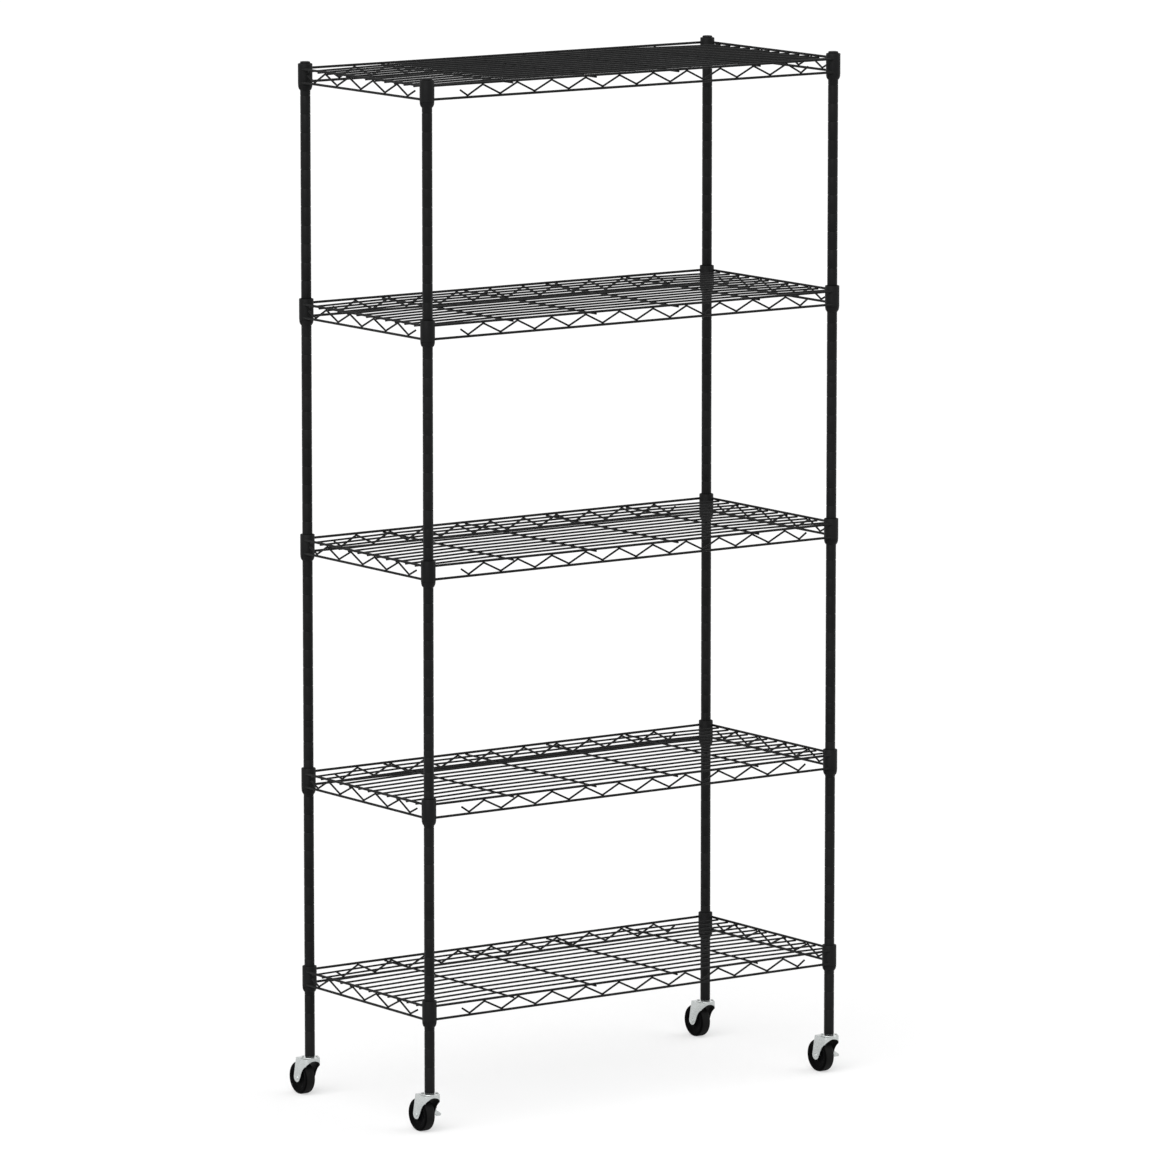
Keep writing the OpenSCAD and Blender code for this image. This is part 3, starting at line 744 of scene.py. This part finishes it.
def makeTyre(name, middle):
    outer, half, shoulder, lip = wheel["outer"], wheel["half"], wheel["shoulder"], wheel["tyreLip"]
    inside = outer - wheel["tyreThick"]
    upper = [(inside, half - lip), (inside + lip, half - wheel["tyreLipDown"]), (inside + 2 * lip, half)]
    for step in range(wheel["shoulderSteps"], -1, -1):
        angle = math.radians(90 * step / wheel["shoulderSteps"])
        upper.append((outer - shoulder + shoulder * math.cos(angle),
                      half - shoulder + shoulder * math.sin(angle)))
    return standUp(turn(name, bothEnds(upper), middle, wheel["steps"], closed=True), middle)


def makeHub(name, middle):
    half, boss = wheel["half"], hub["boss"]
    rimOut = wheel["outer"] - wheel["tyreThick"]
    face, web = half - hub["faceIn"], half - hub["dish"]
    upper = [(hub["bore"], face), (boss - hub["bossEdge"], face), (boss, face - hub["bossEdgeDown"]),
             (boss + hub["footStart"], web + hub["footUp"]), (boss + hub["footEnd"], web),
             (rimOut - hub["rimStart"], web), (rimOut - hub["rimFoot"], web + hub["footUp"]),
             (rimOut - hub["rimMiddle"], half - hub["rimMiddleDown"]),
             (rimOut - hub["rimTop"], half - hub["rimDown"]), (rimOut - hub["play"], half - hub["rimDown"])]
    return standUp(turn(name, bothEnds(upper), middle, wheel["steps"], closed=True), middle)


def makeAxle(name, middle, half, spacerFrom):
    # lengths are measured along X from the middle of the rivet
    radius, head, tall = axle["radius"], axle["head"], axle["headTall"]
    dimple, deep = axle["dimple"], axle["dimpleDeep"]
    upper = [(0, half - deep), (axle["dimpleShare"] * dimple, half - axle["deepShare"] * deep),
             (dimple, half - axle["dimpleEdgeDeep"]), (dimple + axle["dimpleEdge"], half),
             (head - axle["headFlat"], half), (head - axle["headRound"], half - axle["roundFrom"] * tall),
             (head, half - axle["roundTo"] * tall), (head, half - tall), (radius, half - tall)]
    spacerTo = half - tall - axle["spacerStop"]
    spacer = [(radius, spacerFrom), (axle["spacer"], spacerFrom), (axle["spacer"], spacerTo),
              (radius, spacerTo)]
    lower = [(out, -along) for out, along in upper]
    return standUp(turn(name, lower + spacer + upper[::-1], middle, axle["steps"]), middle)


def makePin(name, middle):
    half, radius, head, top = pin["half"], pin["radius"], pin["head"], pin["half"] + pin["headTall"]
    upper = [(0, top), (head - pin["headFlat"], top), (head - pin["headIn"], half + pin["headMiddle"]),
             (head, half + pin["headLow"]), (head, half), (radius, half)]
    return standUp(turn(name, bothEnds(upper), middle, axle["steps"]), middle, 'X')


jointPlaces = {joint["name"]: Vector(joint["pos_m"]) for joint in frame["joints"]}
low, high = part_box("tyre_fl")
wheelMiddle = (low + high) / 2
low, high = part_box("axle_bl")
axleMiddle = Vector(((low.x + high.x) / 2, wheelMiddle.y, wheelMiddle.z))
halfAxle = (high.x - low.x) / 2
spacerStart = wheelMiddle.x - axleMiddle.x + wheel["half"] + axle["spacerGap"]
tyreFirst = makeTyre("tyreFl", wheelMiddle)
hubFirst = makeHub("hubFl", wheelMiddle)
axleFirst = makeAxle("axleFl", axleMiddle, halfAxle, spacerStart)
for cornerName in cornerNames:
    tyre = copyFinished(tyreFirst, "tyre", cornerName)
    middlePart = copyFinished(hubFirst, "hub", cornerName)
    # known fault: the first axle has its lever pin when it is copied, so every copy has that pin too
    rivet = copyFinished(axleFirst, "axle", cornerName)
    finishPiece(tyre, "wheel_" + cornerName, ["tyre_" + cornerName],
                "tyre_black", wheel["tyreSmooth"])
    # the tyre's sides take the darker hub plastic as painted shade, so the tread reads lighter
    addFinish(tyre, "wheelPlastic", lambda middle, normal: abs(normal.x) > wheel["shadeSideFrom"])
    finishPiece(middlePart, "wheel_" + cornerName, ["hub_" + cornerName],
                "wheelPlastic", wheel["hubSmooth"])
    if cornerName in pedals:
        rivet = joinPieces(rivet.name, [rivet, makePin("pin", jointPlaces["brake_" + cornerName])])
    finishPiece(rivet, "caster_" + cornerName, ["axle_" + cornerName], "zinc", axle["smooth"])
print("stage: wheels made")

# ---- floor, light and background

studio = {"floorSize": 160, "floorColour": 0.8, "shadowShare": 0.45, "floorGlow": 0.475,
          "ambient": 0.5, "sunWidth": 65, "keyStrength": 2.6, "keyFrom": (-3.2, -2.0, 3.6),
          "fillStrength": 1.0, "fillFrom": (3.2, -1.2, 3.4)}


def makeFloorPaper():
    # the camera sees a glowing white that still takes the shadow
    material, nodes, links = newMaterial("floorPaper")
    nodes.clear()
    output = nodes.new("ShaderNodeOutputMaterial")
    rays = nodes.new("ShaderNodeLightPath")
    paper = nodes.new("ShaderNodeBsdfDiffuse")
    paper.inputs["Color"].default_value = grey(studio["floorColour"])
    seenPaper = nodes.new("ShaderNodeBsdfDiffuse")
    seenPaper.inputs["Color"].default_value = grey(studio["shadowShare"])
    glow = nodes.new("ShaderNodeEmission")
    glow.inputs["Color"].default_value = grey(1)
    glow.inputs["Strength"].default_value = studio["floorGlow"]
    together = nodes.new("ShaderNodeAddShader")
    choice = nodes.new("ShaderNodeMixShader")
    links.new(seenPaper.outputs[0], together.inputs[0])
    links.new(glow.outputs[0], together.inputs[1])
    links.new(rays.outputs["Is Camera Ray"], choice.inputs["Fac"])
    links.new(paper.outputs[0], choice.inputs[1])
    links.new(together.outputs[0], choice.inputs[2])
    links.new(choice.outputs[0], output.inputs["Surface"])
    return material


def makeWorld():
    # white for the camera and in gloss, a plain soft light for the rest
    world = bpy.data.worlds.new("studioWorld")
    world.use_nodes = True
    nodes, links = world.node_tree.nodes, world.node_tree.links
    nodes.clear()
    output = nodes.new("ShaderNodeOutputWorld")
    ambient = nodes.new("ShaderNodeBackground")
    ambient.inputs["Color"].default_value = grey(1)
    ambient.inputs["Strength"].default_value = studio["ambient"]
    backdrop = nodes.new("ShaderNodeBackground")
    backdrop.inputs["Color"].default_value = grey(1)
    backdrop.inputs["Strength"].default_value = 1
    rays = nodes.new("ShaderNodeLightPath")
    either = nodes.new("ShaderNodeMath")
    either.operation = 'MAXIMUM'
    orGlass = nodes.new("ShaderNodeMath")
    orGlass.operation = 'MAXIMUM'
    choice = nodes.new("ShaderNodeMixShader")
    links.new(rays.outputs["Is Camera Ray"], either.inputs[0])
    links.new(rays.outputs["Is Glossy Ray"], either.inputs[1])
    links.new(either.outputs[0], orGlass.inputs[0])
    links.new(rays.outputs["Is Transmission Ray"], orGlass.inputs[1])
    links.new(orGlass.outputs[0], choice.inputs["Fac"])
    links.new(ambient.outputs[0], choice.inputs[1])
    links.new(backdrop.outputs[0], choice.inputs[2])
    links.new(choice.outputs[0], output.inputs["Surface"])
    return world


def addSoftSun(name, fromPlace, strength):
    lampData = bpy.data.lights.new(name, 'SUN')
    lampData.energy = strength
    lampData.angle = math.radians(studio["sunWidth"])
    lamp = bpy.data.objects.new(name, lampData)
    scene.collection.objects.link(lamp)
    lamp.rotation_euler = (-Vector(fromPlace)).to_track_quat('-Z', 'Y').to_euler()


bpy.ops.object.select_all(action='DESELECT')
bpy.ops.mesh.primitive_plane_add(size=studio["floorSize"], location=(0, 0, 0))
floor = bpy.context.active_object
floor.name = "studioFloor"
floor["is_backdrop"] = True
floor.data.materials.append(makeFloorPaper())
scene.world = makeWorld()
addSoftSun("keySun", studio["keyFrom"], studio["keyStrength"])
addSoftSun("fillSun", studio["fillFrom"], studio["fillStrength"])
print("stage: studio set")

# ---- where the shown pieces' vertices show


def shownVertices(pieces):
    for piece in pieces:
        for vertex in piece.data.vertices:
            yield piece.matrix_world @ vertex.co


shownPieces = [piece for piece in bpy.data.objects if piece.type == 'MESH'
               and not piece.hide_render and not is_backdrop(piece)]
allShown = [shownAt(place) for place in shownVertices(shownPieces)]
# the boxes of each corner's posts and pedal, read and not used further
corners = {"FrontLeft": "fl", "FrontRight": "fr", "BackLeft": "bl", "BackRight": "br"}
for cornerName, short in corners.items():
    low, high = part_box("post_top_" + short)
    low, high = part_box("post_low_" + short)
    if short in pedals:
        low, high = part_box("brake_" + short)
